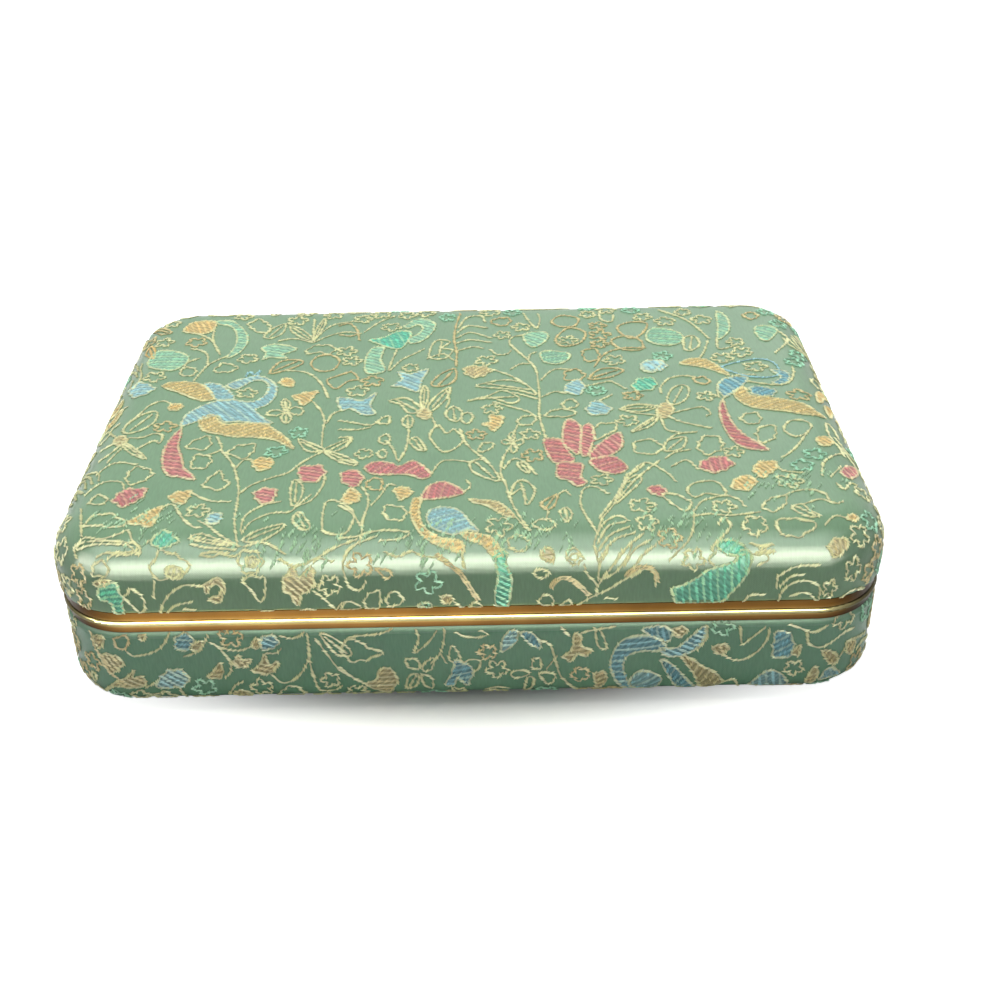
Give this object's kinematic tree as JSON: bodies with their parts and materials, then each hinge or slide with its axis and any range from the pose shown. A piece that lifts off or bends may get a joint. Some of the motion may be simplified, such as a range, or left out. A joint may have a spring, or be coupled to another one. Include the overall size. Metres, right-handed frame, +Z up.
{
  "type": "brocade jewellery box",
  "caption": "Hinged clamshell keepsake case in padded bird-and-flower silk brocade, with a gilt rim, a mirror in the lid and satin-lined compartments.",
  "frame": {"origin": "middle of the flat underside that the closed case stands on", "axes": "+Z up, +X along the length to the right, +Y from the opening front edge to the hinges at the back"},
  "size_m": [0.254, 0.1765, 0.0607],
  "materials": {
    "brocade": "satin",
    "wadding": "matte",
    "card": "matte",
    "sole_cloth": "matte",
    "gilt_brass": "polished",
    "steel": "satin",
    "mirror_glass": "polished",
    "satin": "satin"
  },
  "bodies": {
    "base": {"base_brocade": "brocade", "base_wadding": "wadding", "base_shell": "card", "base_lining": "satin", "base_rim": "gilt_brass", "base_sole": "sole_cloth", "base_hinge_leaf_left": "gilt_brass", "base_hinge_leaf_right": "gilt_brass", "hinge_pin_left": "steel", "hinge_pin_right": "steel", "base_hinge_rivets": "steel", "catch_spring": "steel", "catch_rivets": "steel", "cross_divider": "satin", "left_divider": "satin", "right_divider": "satin", "ring_roll_1": "satin", "ring_roll_2": "satin", "ring_roll_3": "satin", "ring_roll_4": "satin", "ring_roll_5": "satin", "floor_pad_left": "satin", "floor_pad_front": "satin", "floor_pad_back": "satin"},
    "lid": {"lid_brocade": "brocade", "lid_wadding": "wadding", "lid_shell": "card", "lid_lining": "satin", "lid_rim": "gilt_brass", "lid_pad": "satin", "mirror_backing": "card", "mirror": "mirror_glass", "mirror_frame": "gilt_brass", "lid_hinge_leaf_left": "gilt_brass", "lid_hinge_leaf_right": "gilt_brass", "lid_hinge_rivets": "steel"}
  },
  "joints": [
    {"name": "lid_hinge", "type": "hinge", "parent": "base", "child": "lid", "pos_m": [0, 0.08635, 0.0349], "axis": [-1, 0, 0], "range_deg": [0, 100]}
  ]
}
